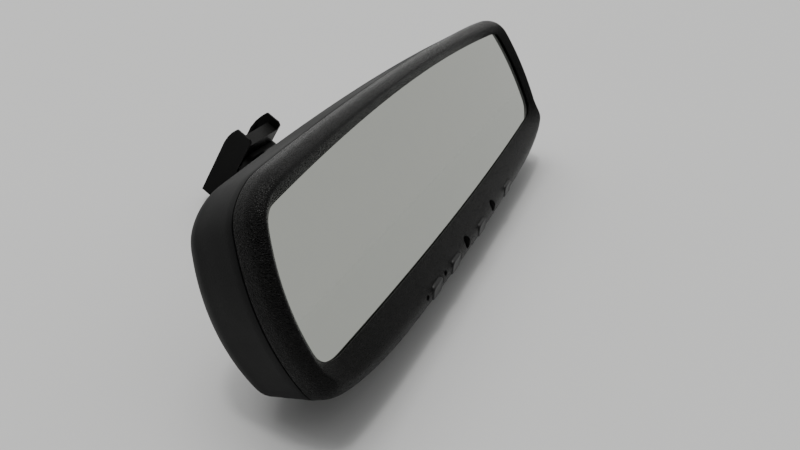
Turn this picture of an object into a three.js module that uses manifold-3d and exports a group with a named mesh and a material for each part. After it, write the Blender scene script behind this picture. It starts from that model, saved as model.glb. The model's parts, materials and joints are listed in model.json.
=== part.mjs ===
// Interior rearview mirror, lying on a table: a long head with an auto-dimming glass, a chin
// with push buttons and sensors, and a ball-jointed arm that ends in a windshield bracket.
//
// Millimetres. Every piece is modelled in the mirror's own frame: X along the width, Y from the
// glass (its front face is y = 0) towards the windshield, Z up in the plane of the glass. The
// whole mirror is then leant back, as it rests on the rear edge of its housing and on the lower
// end of its bracket, and set down with the origin under the middle of its box.

import * as THREE from "three";
import { mergeVertices } from "three/addons/utils/BufferGeometryUtils.js";
import Module from "manifold-3d";

const wasm = await Module();
wasm.setup();

// ---------------------------------------------------------------- driving dimensions

const gap = 0.3; // air between pieces that touch
const leanBack = 27.8; // degrees from upright, at rest

// Outlines: half widths at the corners, heights of the corners, bow of each side, and how far
// each corner's rounding reaches along the long side and along the end.
const caseOutline = {
  topHalf: 115, bottomHalf: 122.5, top: 34.2, bottom: -39.7,
  topBow: 3.7, bottomBow: 4.9, endBow: 9.25,
  topTrim: { long: 14.3, end: 9.7 }, bottomTrim: { long: 43.5, end: 7.9 },
};
const glassOutline = {
  topHalf: 112, bottomHalf: 120.8, top: 25.3, bottom: -24.9,
  topBow: 5.9, bottomBow: 3.4, endBow: 4.6,
  topTrim: { long: 3, end: 4 }, bottomTrim: { long: 9, end: 6 },
};

const parting = 6.3; // where the bezel ends and the housing starts
const wall = 2.2;

const bezelFront = -6.25; // crest of the bezel, proud of the glass
const bezelEdge = 8.8; // radius of its outer edge
const bezelDraft = 0.1;
const lipFront = -0.9; // the lip's inner edge over the glass
const flare = { reach: 10, bend: 1.7 }; // the window's soft widening to the front
const pocket = { half: 66, top: -33 }; // room in the chin for the switches and microphones

const housingRim = 23.6; // where the sides turn into the rear edge
const housingSlope = 0.1; // inset for each mm of depth
const housingEdge = 9.6; // radius of the rear edge
const housingTurn = 64; // degrees of that edge, up to the crowned rear face
const housingBack = 38.5; // top of the crown
const crownInset = 36;
const ballMouth = { front: 10.4, back: 13.4, depth: 8 };

const glassLap = 2; // glass hidden under the lip
const glassThickness = 1.6;
const cellGap = 0.1;
const sealThickness = 0.3;
const sealWidth = 2.5;
const rearGlassInset = 1.5;
const busThickness = 0.5;
const busHalf = 88;

const foamThickness = 0.8;
const carrierThickness = 2;
const carrierRim = 3;
const postRadius = 3;

const boardFront = 11;
const boardThickness = 1.6;
const boardSize = { width: 156, height: 44 };
const carrierWindows = { x: [-36, 0, 36], half: 12 };

const ballRadius = 8;
const ballCentre = 27; // y of the ball joint
const linerThickness = 1.3;
const cupThickness = 1.3;
const socketThickness = 2;
const neckRadius = 4.2;
const linerMouth = 56; // half angles of the openings, in degrees
const cupMouth = 56;
const socketMouth = 52;

// The windshield bracket: its slope in degrees, and the middle of its windshield face.
const bracket = { angle: -32.3, width: 25.4, length: 45, thickness: 12, y: 108.4, z: 29.4 };
const channel = { mouth: 18, floor: 20.4, lip: 1.4, depth: 6, endWall: 6, prong: 6 };
const flange = { width: 24.4, length: 26, thickness: 3 };
const armRadius = 5.8;
const armScrewX = [-9.4, 9.4];

// On the chin. The buttons' and switches' heights are from its skin.
const buttonX = [-53, -33, 0, 40];
const buttonSize = { width: 10, height: 6.4, proud: 0.25, depth: 3, corner: 1.9, ear: 2.8 };
const buttonTurn = 62; // degrees, from straight down towards the front
const stem = { radius: 0.9, length: 2.5 };
const switchTop = -4.8;
const switchHeight = 1.2;
const switchSide = 4.2;
const buttonStrip = { width: 104, height: 4.6, thickness: 0.8, x: -6.5 };
const microphoneX = [-62.5, -44.5];
const microphone = { z: -36.2, radius: 2, front: -2.6, back: -0.9, holeZ: -37.2, holeRadius: 1 };
const lensX = [-18.8, 16.8];
const lens = { z: -37.2, radius: 2.3, front: bezelFront + 0.55 };

const connector = { x: 44, z: 9, width: 24, height: 12, length: 18, floor: 3, wall: 1.2, pins: 8 };
const connectorWindow = 0.8; // air round the plug in the housing
const rearSensor = { x: -34, z: 12, radius: 2.6, front: 33.6, back: 38 };

// ---------------------------------------------------------------- solids and meshes

const radians = THREE.MathUtils.degToRad;

// A closed geometry as a solid. One drawn the other way round is turned right side out.
function solid(geometry) {
  const bare = geometry.clone();
  bare.deleteAttribute("normal");
  bare.deleteAttribute("uv");
  const merged = mergeVertices(bare, 1e-3);
  const corners = merged.index.array;
  const build = (order) => {
    const kept = [];
    for (let i = 0; i < corners.length; i += 3) {
      const [a, b, c] = order.map((k) => corners[i + k]);
      if (a !== b && b !== c && c !== a) kept.push(a, b, c);
    }
    return new wasm.Manifold(new wasm.Mesh({
      numProp: 3,
      vertProperties: merged.attributes.position.array,
      triVerts: Uint32Array.from(kept),
    }));
  };
  const first = build([0, 1, 2]);
  return first.volume() < 0 ? build([0, 2, 1]) : first;
}

function geometryOf(shape) {
  const mesh = shape.getMesh();
  const geometry = new THREE.BufferGeometry();
  geometry.setAttribute("position", new THREE.BufferAttribute(Float32Array.from(mesh.vertProperties), 3));
  geometry.setIndex(new THREE.BufferAttribute(Uint32Array.from(mesh.triVerts), 1));
  geometry.computeVertexNormals();
  return geometry;
}

const finishes = {
  bezelPlastic: { color: 0x17181a, roughness: 0.62, metalness: 0 },
  housingPlastic: { color: 0x2a2c2e, roughness: 0.7, metalness: 0 },
  mountPlastic: { color: 0x0d0d0e, roughness: 0.55, metalness: 0 },
  mirror: { color: 0xa3a69e, roughness: 0.05, metalness: 0.9 },
  glass: { color: 0xb8c2c0, roughness: 0.05, metalness: 0 },
  seal: { color: 0x3c3c3a, roughness: 0.8, metalness: 0 },
  copper: { color: 0xb87a4b, roughness: 0.35, metalness: 1 },
  foam: { color: 0x3a3a3c, roughness: 0.95, metalness: 0 },
  innerPlastic: { color: 0x1f2022, roughness: 0.7, metalness: 0 },
  board: { color: 0x1d5a33, roughness: 0.5, metalness: 0 },
  chip: { color: 0x151517, roughness: 0.5, metalness: 0 },
  steel: { color: 0xa9abad, roughness: 0.35, metalness: 1 },
  liner: { color: 0xd8d4c8, roughness: 0.45, metalness: 0 },
  lens: { color: 0x101114, roughness: 0.12, metalness: 0 },
  button: { color: 0x242527, roughness: 0.45, metalness: 0 },
  flex: { color: 0x9a5a22, roughness: 0.5, metalness: 0 },
};

const head = new THREE.Group();
const mount = new THREE.Group();

function place(group, name, shape, finish) {
  const mesh = new THREE.Mesh(geometryOf(shape), new THREE.MeshStandardMaterial(finishes[finish]));
  mesh.name = name;
  group.add(mesh);
}

// ---------------------------------------------------------------- shared shapes

// The points of a four-sided outline with bowed sides and rounded corners, from the top left.
function outlinePoints(outline) {
  const { topHalf, bottomHalf, top, bottom, topBow, bottomBow, endBow } = outline;
  const corners = [
    new THREE.Vector2(-topHalf, top),
    new THREE.Vector2(topHalf, top),
    new THREE.Vector2(bottomHalf, bottom),
    new THREE.Vector2(-bottomHalf, bottom),
  ];
  const bows = [topBow, endBow, bottomBow, endBow];
  const trims = [outline.topTrim, outline.topTrim, outline.bottomTrim, outline.bottomTrim];
  const steps = [10, 5, 8, 5];
  const cornerSteps = 6;
  const roundness = 0.55;
  const sides = corners.map((from, i) => {
    const to = corners[(i + 1) % 4];
    const along = to.clone().sub(from);
    const outward = new THREE.Vector2(-along.y, along.x).normalize();
    const middle = from.clone().add(to).multiplyScalar(0.5).addScaledVector(outward, 2 * bows[i]);
    const curve = new THREE.QuadraticBezierCurve(from, middle, to);
    const way = i % 2 ? "end" : "long";
    const start = trims[i][way] / along.length();
    const end = 1 - trims[(i + 1) % 4][way] / along.length();
    return { curve, start, end };
  });
  const points = [];
  sides.forEach((side, i) => {
    for (let k = 0; k <= steps[i]; k++) {
      points.push(side.curve.getPoint(THREE.MathUtils.lerp(side.start, side.end, k / steps[i])));
    }
    const next = sides[(i + 1) % 4];
    const corner = corners[(i + 1) % 4];
    const from = side.curve.getPoint(side.end);
    const to = next.curve.getPoint(next.start);
    const bend = new THREE.CubicBezierCurve(
      from, from.clone().lerp(corner, roundness), to.clone().lerp(corner, roundness), to,
    );
    points.push(...bend.getPoints(cornerSteps).slice(1, -1));
  });
  return points;
}

// A body whose outline shrinks by an inset as y changes. The profile is a list of [y, inset]
// from the rear to the front.
function skin(outline, profile) {
  const points = outlinePoints(outline);
  const geometry = new THREE.ExtrudeGeometry(new THREE.Shape(points), {
    depth: 1, steps: profile.length - 1, bevelEnabled: false,
  });
  const box = new THREE.Box2().setFromPoints(points);
  const half = box.getSize(new THREE.Vector2()).multiplyScalar(0.5);
  const middle = box.getCenter(new THREE.Vector2());
  const position = geometry.attributes.position;
  for (let i = 0; i < position.count; i++) {
    const [y, inset] = profile[Math.round(position.getZ(i) * (profile.length - 1))];
    const x = position.getX(i) * (1 - inset / half.x);
    const z = middle.y + (position.getY(i) - middle.y) * (1 - inset / half.y);
    position.setXYZ(i, x, y, z);
  }
  return solid(geometry);
}

// The same profile moved inwards by a wall.
function offsetProfile(profile, thickness) {
  return profile.map(([y, inset], i) => {
    const before = profile[Math.max(i - 1, 0)];
    const after = profile[Math.min(i + 1, profile.length - 1)];
    const along = new THREE.Vector2(after[0] - before[0], after[1] - before[1]).normalize();
    return [y + along.y * thickness, inset - along.x * thickness];
  });
}

const slab = (outline, inset, front, back) => skin(outline, [[back, inset], [front, inset]]);

function block(x0, x1, y0, y1, z0, z1) {
  const geometry = new THREE.BoxGeometry(x1 - x0, y1 - y0, z1 - z0);
  geometry.translate((x0 + x1) / 2, (y0 + y1) / 2, (z0 + z1) / 2);
  return solid(geometry);
}

// A round bar along y.
function rod(x, z, radius, y0, y1, sides = 16) {
  const geometry = new THREE.CylinderGeometry(radius, radius, y1 - y0, sides);
  geometry.translate(x, (y0 + y1) / 2, z);
  return solid(geometry);
}

// A block with rounded corners, w by h, from z0 to z1 in its own frame.
function pad(width, height, corner, z0, z1, bevel = 0) {
  const shape = new THREE.Shape();
  const w = width / 2 - bevel;
  const h = height / 2 - bevel;
  const r = corner - bevel;
  shape.absarc(w - r, h - r, r, 0, Math.PI / 2);
  shape.absarc(-w + r, h - r, r, Math.PI / 2, Math.PI);
  shape.absarc(-w + r, -h + r, r, Math.PI, 1.5 * Math.PI);
  shape.absarc(w - r, -h + r, r, 1.5 * Math.PI, 2 * Math.PI);
  const geometry = new THREE.ExtrudeGeometry(shape, {
    depth: z1 - z0 - 2 * bevel, curveSegments: 3,
    bevelEnabled: bevel > 0, bevelThickness: bevel, bevelSize: bevel, bevelSegments: 2,
  });
  geometry.translate(0, 0, z0 + bevel);
  return geometry;
}

// ---------------------------------------------------------------- case

function bezelProfile() {
  const centre = bezelFront + bezelEdge;
  const edge = [0, 15, 30, 45, 60, 75, 90].map(radians).map((a) => [
    centre - bezelEdge * Math.sin(a), bezelDraft + bezelEdge * (1 - Math.cos(a)),
  ]);
  return [[parting, 0], ...edge];
}

// The space in front of the glass, which widens in a curve from the lip to past the crest. Grown
// outwards by an amount, it is what the chin's pocket keeps clear of.
function frontWindow(grown = 0) {
  const rise = lipFront - bezelFront + 0.1;
  const curve = [0, 1.5, 3, 4.5, 7, flare.reach].map((growth) => [
    lipFront - rise * (1 - (1 - growth / flare.reach) ** flare.bend), -growth - grown,
  ]);
  return skin(glassOutline, [[wall, -grown], ...curve, [bezelFront - wall, -flare.reach - wall - grown]]);
}

// y and z of the middle of the edge's rounding, on the chin under x
function chinCentre(x) {
  const { bottom, bottomBow, bottomHalf } = caseOutline;
  const fall = bottomBow * (1 - (x / bottomHalf) ** 2);
  return new THREE.Vector3(x, bezelFront + bezelEdge, bottom - fall + bezelDraft + bezelEdge);
}

// Puts a geometry drawn with +Z out of the chin at the button over x. z = 0 is the chin's skin.
function onChin(geometry, x) {
  const turn = radians(180 - buttonTurn);
  const outward = new THREE.Vector3(0, -Math.sin(turn), Math.cos(turn));
  const origin = chinCentre(x).addScaledVector(outward, bezelEdge);
  const matrix = new THREE.Matrix4().makeRotationX(turn).setPosition(origin);
  return solid(geometry.clone().applyMatrix4(matrix));
}

function frontBezel() {
  const { width, height, corner } = buttonSize;
  let shape = skin(caseOutline, bezelProfile())
    .subtract(slab(caseOutline, wall, -gap, parting + 1))
    .subtract(frontWindow());
  const room = skin(caseOutline, offsetProfile(bezelProfile(), wall))
    .intersect(block(-pocket.half, pocket.half, bezelFront, 0, caseOutline.bottom * 2, pocket.top))
    .subtract(frontWindow(wall));
  shape = shape.subtract(room);
  const slot = pad(width + 2 * gap, height + 2 * gap, corner + gap, -4.6, 4);
  for (const x of buttonX) shape = shape.subtract(onChin(slot, x));
  for (const x of lensX) shape = shape.subtract(rod(x, lens.z, lens.radius + gap, bezelFront - 1, 0));
  for (const x of microphoneX) {
    shape = shape.subtract(rod(x, microphone.holeZ, microphone.holeRadius, bezelFront - 1, 0));
  }
  return shape;
}

// Drafted sides, a round rear edge, and a rear face that rises in a parabola to its crown.
function housingProfile() {
  const sideInset = (housingRim - parting - gap) * housingSlope;
  const edge = [1, 0.75, 0.5, 0.25].map((k) => radians(housingTurn * k)).map((a) => [
    housingRim + housingEdge * Math.sin(a), sideInset + housingEdge * (1 - Math.cos(a)),
  ]);
  const [[edgeY, edgeInset]] = edge;
  const crown = [1, 0.8, 0.6, 0.4, 0.2].map((k) => [
    housingBack - (housingBack - edgeY) * (1 - k) ** 2, THREE.MathUtils.lerp(edgeInset, crownInset, k),
  ]);
  return [...crown, ...edge, [housingRim, sideInset], [parting + gap, 0]];
}

const pivotScrews = [[-22, -13], [22, -13], [-22, 13], [22, 13]];
const plateFront = 19;
const plateBack = 21.5;
const pilot = { post: 3.4, radius: 1.5, depth: 9 }; // what the plate's screws go into

function rearHousing() {
  const outer = housingProfile();
  const inner = offsetProfile(outer, wall);
  inner[inner.length - 1] = [parting - 1, wall];
  const whole = skin(caseOutline, outer);
  let shape = whole.subtract(skin(caseOutline, inner));
  for (const [x, z] of pivotScrews) {
    shape = shape.add(rod(x, z, pilot.post, plateBack + gap, housingBack).intersect(whole))
      .subtract(rod(x, z, pilot.radius, plateBack, plateBack + pilot.depth, 8));
  }
  const mouth = new THREE.CylinderGeometry(ballMouth.back, ballMouth.front, ballMouth.depth, 48)
    .translate(0, housingBack + 1, 0);
  shape = shape.subtract(solid(mouth));
  const { x, z, width, height } = connector;
  const halfWidth = width / 2 + connectorWindow;
  const halfHeight = height / 2 + connectorWindow;
  return shape
    .subtract(block(x - halfWidth, x + halfWidth, 30, 45, z - halfHeight, z + halfHeight))
    .subtract(rod(rearSensor.x, rearSensor.z, rearSensor.radius + gap, 30, 45));
}

// ---------------------------------------------------------------- glass cell and its carrier

const sealFront = glassThickness + cellGap;
const rearGlassFront = sealFront + sealThickness + cellGap;
const cellBack = rearGlassFront + glassThickness;
const foamFront = cellBack + gap;
const carrierFront = foamFront + foamThickness + gap;
const carrierBack = carrierFront + carrierThickness;

function cellSeal() {
  const outer = slab(glassOutline, rearGlassInset - glassLap, sealFront, sealFront + sealThickness);
  const inner = slab(glassOutline, rearGlassInset - glassLap + sealWidth, 0, 5);
  return outer.subtract(inner);
}

// A strip along one long edge of the cell, wrapped over the rear of it.
function busClip(side) {
  const edge = -glassLap - gap;
  const back = cellBack + 0.1;
  const strip = slab(glassOutline, edge - busThickness, 0, back + 0.1)
    .subtract(slab(glassOutline, edge, -1, back + 1));
  const [low, high] = side > 0 ? [5, 60] : [-60, -5];
  return strip.intersect(block(-busHalf, busHalf, -1, 20, low, high));
}

const carrierPosts = [[-70, -16], [70, -16], [-70, 16], [70, 16]];

function glassCarrier() {
  let shape = slab(glassOutline, 0, carrierFront, carrierBack)
    .add(slab(glassOutline, 0, carrierFront, carrierBack + 2)
      .subtract(slab(glassOutline, carrierRim, carrierFront - 1, carrierBack + 3)));
  for (const [x, z] of carrierPosts) {
    shape = shape.add(rod(x, z, postRadius, carrierBack - 0.5, boardFront - gap))
      .subtract(rod(x, z, 1.5, carrierBack, boardFront + 1, 8));
  }
  const { half } = carrierWindows;
  for (const x of carrierWindows.x) {
    shape = shape.subtract(block(x - half, x + half, carrierFront - 1, carrierBack + 1, -half, half));
  }
  return shape;
}

// ---------------------------------------------------------------- electronics

const boardBack = boardFront + boardThickness;

function circuitBoard() {
  const { width, height } = boardSize;
  let shape = block(-width / 2, width / 2, boardFront, boardBack, -height / 2, height / 2);
  for (const [x, z] of carrierPosts) shape = shape.subtract(rod(x, z, 1.7, 0, 20, 16));
  return shape;
}

// A pan-head screw drawn with its head on z = 0 and its shank down -Z, and put in place by to.
function screw(to, length, shank = 1.2, headRadius = 2.4) {
  const bar = (radius, z0, z1, sides) => to(
    new THREE.CylinderGeometry(radius, radius, z1 - z0, sides).rotateX(Math.PI / 2)
      .translate(0, 0, (z0 + z1) / 2),
  );
  return bar(headRadius, 0, 1.5, 16).add(bar(shank, -length, 0.5, 8)).subtract(bar(1.1, 0.7, 3, 6));
}

// Puts a screw on a plane of constant y, with its head to the rear or to the front.
const facingRear = (x, y, z) => (geometry) => solid(geometry.rotateX(-Math.PI / 2).translate(x, y, z));
const facingFront = (x, y, z) => (geometry) => solid(geometry.rotateX(Math.PI / 2).translate(x, y, z));

function connectorHeader() {
  const { x, z, width, height, length, floor } = connector;
  const base = boardBack + gap;
  const box = (inset, y0, y1) => block(
    x - width / 2 + inset, x + width / 2 - inset, y0, y1, z - height / 2 + inset, z + height / 2 - inset,
  );
  return box(0, base, base + length).subtract(box(connector.wall, base + floor, base + length + 1));
}

// The header's contacts, in the row's carrier strip.
function connectorPins() {
  const { x, z, width, pins } = connector;
  const floor = boardBack + connector.floor + 2 * gap;
  const pitch = (width - 2 * connector.wall - 4) / (pins - 1);
  const left = x - width / 2 + connector.wall + 2;
  let shape = block(left - 1, left + pitch * (pins - 1) + 1, floor, floor + 1, z - 1.5, z + 1.5);
  for (let i = 0; i < pins; i++) {
    const at = left + pitch * i;
    shape = shape.add(block(at - 0.3, at + 0.3, floor + 0.5, floor + 9, z - 0.3, z + 0.3));
  }
  return shape;
}

const buttonBoardTop = switchTop - switchHeight - gap;

function chinButton(x) {
  const { width, height, proud, depth, corner, ear } = buttonSize;
  const cap = onChin(pad(width, height, corner, -depth, proud, 0.5), x);
  const ears = onChin(pad(width + 2, ear, 0.8, -depth - 0.7, -depth + gap), x);
  const post = new THREE.CylinderGeometry(stem.radius, stem.radius, stem.length, 8)
    .rotateX(Math.PI / 2).translate(0, 0, -depth - 0.75);
  return cap.add(ears).add(onChin(post, x));
}

function tactSwitch(x) {
  const body = onChin(pad(switchSide, switchSide, 0.5, switchTop - switchHeight, switchTop), x);
  const well = new THREE.CylinderGeometry(1.4, 1.4, 2, 12).rotateX(Math.PI / 2)
    .translate(0, 0, switchTop + 0.1);
  return body.subtract(onChin(well, x));
}

// Straight, so it is set by the outermost button, where the bowed chin is highest.
function buttonBoard() {
  const { width, height, thickness, x } = buttonStrip;
  const [outermost] = buttonX;
  const strip = pad(width, height, 0.8, buttonBoardTop - thickness, buttonBoardTop);
  return onChin(strip.translate(x - outermost, 0, 0), outermost);
}

// A flat ribbon from behind the button board to the front of the main board.
function buttonFlex() {
  const ribbon = { width: 14, thickness: 0.3 };
  const route = new THREE.CatmullRomCurve3([
    new THREE.Vector3(0, 2.6, -35.6), new THREE.Vector3(0, 6.5, -33.5),
    new THREE.Vector3(0, 9.9, -28.8), new THREE.Vector3(0, 10.5, -23.4), new THREE.Vector3(0, 10.5, -20),
  ]);
  const w = ribbon.width / 2;
  const t = ribbon.thickness / 2;
  const strip = new THREE.Shape([
    new THREE.Vector2(-w, -t), new THREE.Vector2(w, -t), new THREE.Vector2(w, t), new THREE.Vector2(-w, t),
  ]);
  return solid(new THREE.ExtrudeGeometry(strip, { steps: 12, bevelEnabled: false, extrudePath: route }));
}

// ---------------------------------------------------------------- ball joint

const joint = new THREE.Vector3(0, ballCentre, 0);
const bracketTurn = radians(bracket.angle);
const bracketOut = new THREE.Vector3(0, -Math.sin(bracketTurn), Math.cos(bracketTurn));
const bracketMiddle = new THREE.Vector3(0, bracket.y, bracket.z);
const armEnd = bracketMiddle.clone().addScaledVector(bracketOut, -bracket.thickness - gap - 1);
const armAxis = armEnd.clone().sub(joint).normalize();
const armLength = armEnd.distanceTo(joint);

// Stands a geometry drawn along +Y on the ball's centre, along an axis.
function onBall(geometry, axis) {
  const turn = new THREE.Quaternion().setFromUnitVectors(new THREE.Vector3(0, 1, 0), axis);
  const matrix = new THREE.Matrix4().compose(joint, turn, new THREE.Vector3(1, 1, 1));
  return solid(geometry.clone().applyMatrix4(matrix));
}

// Part of a hollow ball about the joint, open round the axis by a half angle.
function hollowBall(inside, outside, mouth) {
  const sides = 24;
  const arcSteps = 8;
  const arc = (radius, k) => {
    const a = THREE.MathUtils.lerp(Math.PI, radians(mouth), k / arcSteps);
    return new THREE.Vector2(Math.max(radius * Math.sin(a), 0), radius * Math.cos(a));
  };
  const points = [];
  for (let k = 0; k <= arcSteps; k++) points.push(arc(outside, k));
  for (let k = arcSteps; k >= 0; k--) points.push(arc(inside, k));
  points[0].x = 0;
  points[points.length - 1].x = 0;
  return new THREE.LatheGeometry(points, sides);
}

const linerInside = ballRadius + gap;
const linerOutside = linerInside + linerThickness;
const cupInside = linerOutside + gap;
const cupOutside = cupInside + cupThickness;
const socketInside = cupOutside + gap;
const socketOutside = socketInside + socketThickness;
const rearward = new THREE.Vector3(0, 1, 0);

function pivotPlate() {
  const plate = block(-29, 29, plateFront, plateBack, -19, 19);
  const room = new THREE.SphereGeometry((socketInside + socketOutside) / 2, 24, 16);
  let shape = plate.subtract(onBall(room, rearward))
    .add(onBall(hollowBall(socketInside, socketOutside, socketMouth), rearward));
  for (const [x, z] of pivotScrews) shape = shape.subtract(rod(x, z, 1.6, 0, 40, 16));
  return shape;
}

function ballArm() {
  const foot = -bracket.thickness - gap;
  const ball = onBall(new THREE.SphereGeometry(ballRadius, 24, 16), armAxis);
  const profile = [
    [0, 4], [neckRadius, 4], [neckRadius, 13], [armRadius - 0.6, 22], [armRadius, 32],
    [armRadius, armLength - 5], [armRadius + 0.6, armLength + 8], [0, armLength + 8],
  ].map(([r, y]) => new THREE.Vector2(r, y));
  const stem = onBall(new THREE.LatheGeometry(profile, 24), armAxis);
  const plate = onBracket(pad(flange.width, flange.length, 4, foot - flange.thickness, foot));
  const above = onBracket(pad(60, 80, 4, foot, 40));
  let shape = ball.add(stem).add(plate).subtract(above);
  for (const x of armScrewX) {
    const hole = new THREE.CylinderGeometry(1.7, 1.7, 12, 16).rotateX(Math.PI / 2).translate(x, 0, foot);
    shape = shape.subtract(onBracket(hole));
  }
  return shape;
}

// ---------------------------------------------------------------- windshield bracket

// Puts a geometry on the bracket, from a frame with +Z out of the windshield face and +Y down
// the slope.
function onBracket(geometry) {
  const matrix = new THREE.Matrix4().makeRotationX(bracketTurn).setPosition(bracketMiddle);
  return solid(geometry.clone().applyMatrix4(matrix));
}

// A side view in that frame, drawn as points of [down the slope, out of the face].
function bracketSide(points, width) {
  const shape = new THREE.Shape(points.map(([down, out]) => new THREE.Vector2(down, out)));
  const turn = new THREE.Matrix4().makeBasis(
    new THREE.Vector3(0, 1, 0), new THREE.Vector3(0, 0, 1), new THREE.Vector3(1, 0, 0),
  );
  const geometry = new THREE.ExtrudeGeometry(shape, { depth: width, bevelEnabled: false });
  return onBracket(geometry.applyMatrix4(turn).translate(-width / 2, 0, 0));
}

function mountBracket() {
  const end = bracket.length / 2;
  const back = -bracket.thickness;
  const body = bracketSide([
    [end, 0], [end, back], [5 - end, back], [1.6 - end, back + 2.4], [-end, back + 6],
    [-end, -2.8], [0.8 - end, -0.9], [2.6 - end, 0],
  ], bracket.width);
  const { mouth, floor, lip, depth, endWall, prong } = channel;
  const section = new THREE.Shape([
    [-floor / 2, -depth], [floor / 2, -depth], [floor / 2, -lip - 0.6], [mouth / 2, -lip],
    [mouth / 2, 2], [-mouth / 2, 2], [-mouth / 2, -lip], [-floor / 2, -lip - 0.6],
  ].map(([x, out]) => new THREE.Vector2(x, out)));
  const way = new THREE.ExtrudeGeometry(section, { depth: bracket.length, bevelEnabled: false })
    .rotateX(Math.PI / 2).translate(0, end - endWall, 0);
  const between = pad(floor, 2 * prong, 1.5, back - 1, 0).translate(0, -end, 0);
  let shape = body.subtract(onBracket(way)).subtract(onBracket(between));
  for (const x of armScrewX) {
    const hole = new THREE.CylinderGeometry(1.5, 1.5, 8.8, 12).rotateX(Math.PI / 2).translate(x, 0, back);
    shape = shape.subtract(onBracket(hole));
  }
  return shape;
}

// The leaf in the channel's floor that presses on the windshield button.
function bracketSpring() {
  const thickness = 0.8;
  const low = -channel.depth + gap;
  const rise = [[-15, 0], [-10, 0.2], [-4, 1.1], [2, 1.1], [8, 0.2], [13, 0]];
  const under = rise.map(([down, up]) => [down, low + up]);
  const over = rise.map(([down, up]) => [down, low + up + thickness]).reverse();
  return bracketSide([...under, ...over], 12);
}

function armScrew(x) {
  const seat = -bracket.thickness - flange.thickness - 2 * gap;
  const to = (geometry) => onBracket(geometry.rotateX(Math.PI).translate(x, 0, seat));
  return screw(to, flange.thickness + 4, 1.2, 2.2);
}

// ---------------------------------------------------------------- the pieces

place(head, "front_bezel", frontBezel(), "bezelPlastic");
place(head, "rear_housing", rearHousing(), "housingPlastic");
place(head, "mirror_glass", slab(glassOutline, -glassLap, 0, glassThickness), "mirror");
place(head, "cell_seal", cellSeal(), "seal");
const rearGlass = slab(glassOutline, rearGlassInset - glassLap, rearGlassFront, cellBack);
place(head, "mirror_rear_glass", rearGlass, "glass");
place(head, "bus_clip_top", busClip(1), "copper");
place(head, "bus_clip_bottom", busClip(-1), "copper");
place(head, "foam_pad", slab(glassOutline, 4, foamFront, foamFront + foamThickness), "foam");
place(head, "glass_carrier", glassCarrier(), "innerPlastic");
place(head, "circuit_board", circuitBoard(), "board");
carrierPosts.forEach(([x, z], i) => {
  place(head, `board_screw_${i + 1}`, screw(facingRear(x, boardBack + gap, z), 4.6), "steel");
});
place(head, "mirror_controller", block(-60, -50, boardBack + gap, boardBack + 1.5, 2, 12), "chip");
place(head, "filter_capacitor", rod(-52, -8, 4, boardBack + gap, boardBack + 8.3), "chip");
place(head, "connector_header", connectorHeader(), "innerPlastic");
place(head, "connector_pins", connectorPins(), "steel");
place(head, "button_board", buttonBoard(), "board");
place(head, "button_flex", buttonFlex(), "flex");
buttonX.forEach((x, i) => {
  place(head, `button_${i + 1}`, chinButton(x), "button");
  place(head, `tact_switch_${i + 1}`, tactSwitch(x), "chip");
});
microphoneX.forEach((x, i) => {
  const { z, radius, front, back } = microphone;
  place(head, `microphone_${i + 1}`, rod(x, z, radius, front, back), "steel");
});
["status_led_lens", "glare_sensor_lens"].forEach((name, i) => {
  place(head, name, rod(lensX[i], lens.z, lens.radius, lens.front, -gap, 24), "lens");
});
const { x: rearX, z: rearZ, radius: rearRadius, front: rearFront, back: rearBack } = rearSensor;
place(head, "rear_sensor_lens", rod(rearX, rearZ, rearRadius, rearFront, rearBack, 24), "lens");
place(head, "pivot_plate", pivotPlate(), "steel");
pivotScrews.forEach(([x, z], i) => {
  place(head, `pivot_screw_${i + 1}`, screw(facingFront(x, plateFront - gap, z), 9), "steel");
});
place(head, "ball_cup", onBall(hollowBall(cupInside, cupOutside, cupMouth), rearward), "steel");
place(head, "ball_liner", onBall(hollowBall(linerInside, linerOutside, linerMouth), armAxis), "liner");
place(mount, "ball_arm", ballArm(), "mountPlastic");
place(mount, "windshield_bracket", mountBracket(), "mountPlastic");
place(mount, "bracket_spring", bracketSpring(), "steel");
armScrewX.forEach((x, i) => place(mount, `arm_screw_${i + 1}`, armScrew(x), "steel"));

// ---------------------------------------------------------------- as it lies

const lying = new THREE.Group();
lying.add(head, mount);
lying.rotation.x = -radians(leanBack);

const rearviewMirror = new THREE.Group();
rearviewMirror.add(lying);
rearviewMirror.updateMatrixWorld(true);
const bounds = new THREE.Box3().setFromObject(rearviewMirror, true);
const middle = bounds.getCenter(new THREE.Vector3());
lying.position.set(-middle.x, -middle.y, -bounds.min.z);

export default rearviewMirror;
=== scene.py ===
import json
import math

import bmesh
import bpy
import numpy as np
from mathutils import Matrix, Vector


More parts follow.
